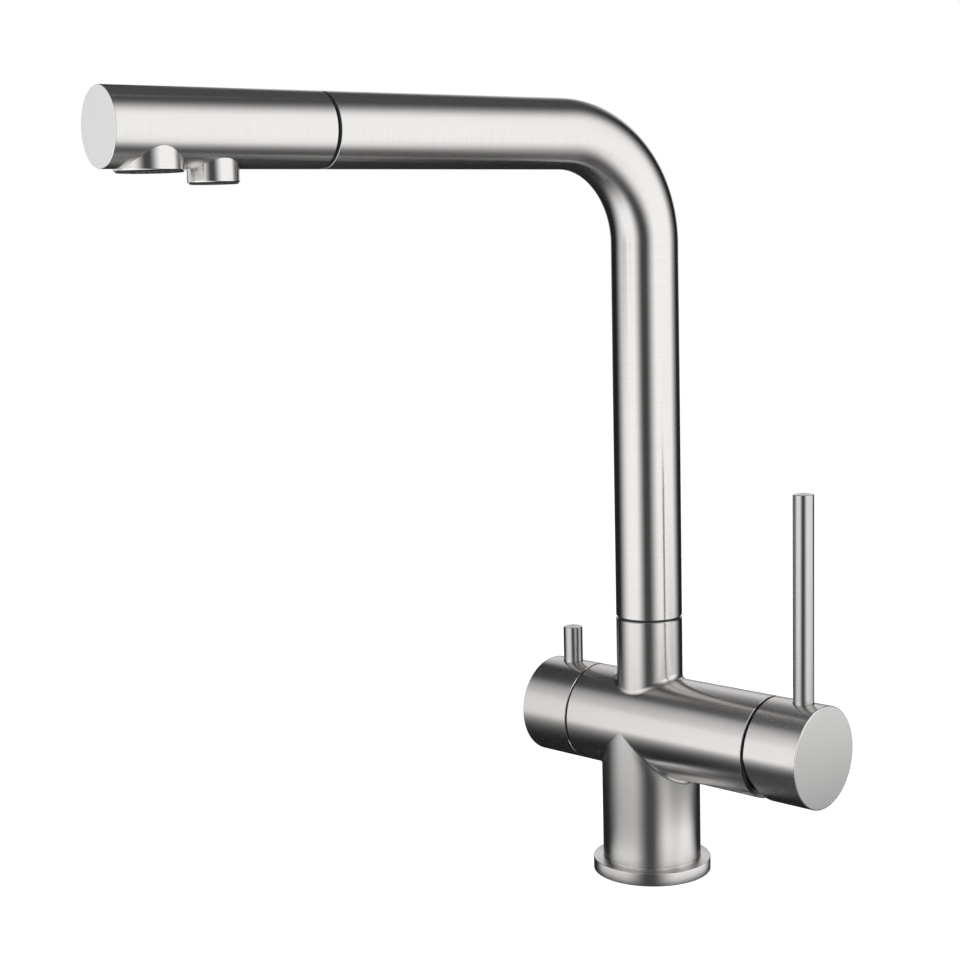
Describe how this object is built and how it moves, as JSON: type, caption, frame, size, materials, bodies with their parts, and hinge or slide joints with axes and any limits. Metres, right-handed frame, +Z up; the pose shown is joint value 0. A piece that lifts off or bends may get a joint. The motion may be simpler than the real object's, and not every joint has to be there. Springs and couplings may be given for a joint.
{
  "type": "drinking water filter tap",
  "caption": "Kitchen mixer tap with a separate way for filtered drinking water: swivel spout with a pull-out two-outlet head, long mixer lever and short quarter-turn filter lever.",
  "frame": {"origin": "centre of the flange's underside, on the deck, on the column's axis", "axes": "+Z up from the deck, +X along the cross tube to the mixer lever, -Y to the front, where the spout points"},
  "size_m": [0.1549, 0.2837, 0.3501],
  "materials": {
    "brushed_steel": "fine satin brushing, neutral grey",
    "bright_steel": "polished steel",
    "brass": "bare turned brass",
    "copper": "bare copper tube",
    "black_rubber": "black rubber",
    "ceramic": "lapped white ceramic",
    "white_plastic": "moulded off-white plastic",
    "dark_plastic": "moulded dark grey plastic",
    "hose_braid": "grey braid over a rubber hose",
    "hose_plain": "light plain hose"
  },
  "bodies": {
    "tap_body": {"body_shell": "brushed_steel", "base_flange": "brushed_steel", "base_seal": "black_rubber", "inlet_block": "brass", "hot_pipe": "copper", "cold_pipe": "copper", "mixed_pipe": "copper", "filter_inlet_pipe": "copper", "filter_outlet_pipe": "copper", "valve_core": "brass", "cartridge_base": "white_plastic", "cartridge_seals": "black_rubber", "cartridge_fixed_disc": "ceramic", "cartridge_body": "white_plastic", "cartridge_nut": "brass", "cartridge_shroud": "bright_steel", "filter_seat_seal": "black_rubber", "filter_fixed_disc": "ceramic", "filter_valve_body": "brass", "lower_bush": "white_plastic", "upper_bush": "white_plastic", "slip_ring": "dark_plastic", "spout_stop_screw": "bright_steel"},
    "spout": {"spout_spigot": "brass", "spigot_seals": "black_rubber", "spout_tube": "brushed_steel", "mixed_hose": "hose_braid", "filter_hose": "hose_plain", "hose_ferrules": "bright_steel", "dock_sleeve": "white_plastic"},
    "pullout_head": {"head_shell": "brushed_steel", "head_end_cap": "brushed_steel", "front_nozzle": "brushed_steel", "rear_nozzle": "brushed_steel", "nozzle_seals": "black_rubber", "front_aerator": "dark_plastic", "rear_aerator": "dark_plastic", "head_waterway": "white_plastic", "head_spigot": "white_plastic", "dock_ring": "black_rubber", "head_mixed_hose": "hose_braid", "head_filter_hose": "hose_plain", "mixed_connector": "brass", "filter_connector": "brass", "check_valves": "white_plastic"},
    "mixer_carrier": {"cartridge_carrier": "white_plastic", "cartridge_pin": "bright_steel"},
    "mixer_handle": {"mixer_cap": "brushed_steel", "mixer_lever": "brushed_steel", "mixer_grub_screw": "bright_steel", "cartridge_stem": "bright_steel"},
    "mixer_disc": {"cartridge_moving_disc": "ceramic", "cartridge_disc_holder": "white_plastic"},
    "filter_handle": {"filter_knob": "brushed_steel", "filter_lever": "brushed_steel", "filter_knob_screw": "bright_steel", "filter_spindle": "brass", "spindle_seal": "black_rubber", "filter_moving_disc": "ceramic"}
  },
  "joints": [
    {"name": "spout_swivel", "type": "hinge", "parent": "tap_body", "child": "spout", "pos_m": [0, 0, 0.1188], "axis": [0, 0, 1], "range_deg": [-99.7, 120.3]},
    {"name": "head_pull", "type": "slide", "parent": "spout", "child": "pullout_head", "axis": [-0.1788, -0.9839, 0], "range_m": [0, 0.1]},
    {"name": "mixer_turn", "type": "hinge", "parent": "tap_body", "child": "mixer_carrier", "pos_m": [0.062, 0, 0.0692], "axis": [1, 0, 0], "range_deg": [-50, 50]},
    {"name": "mixer_tilt", "type": "hinge", "parent": "mixer_carrier", "child": "mixer_handle", "pos_m": [0.062, 0, 0.0692], "axis": [0, 1, 0], "range_deg": [0, 17]},
    {"name": "mixer_disc_slide", "type": "slide", "parent": "mixer_carrier", "child": "mixer_disc", "axis": [0, 0, 1], "range_m": [0, 0.0045]},
    {"name": "filter_turn", "type": "hinge", "parent": "tap_body", "child": "filter_handle", "pos_m": [-0.046, 0, 0.0692], "axis": [1, 0, 0], "range_deg": [0, 90]}
  ],
  "couplings": [
    {"joint": "mixer_disc_slide", "follows": "mixer_tilt", "m_per_rad": 0.0148}
  ]
}
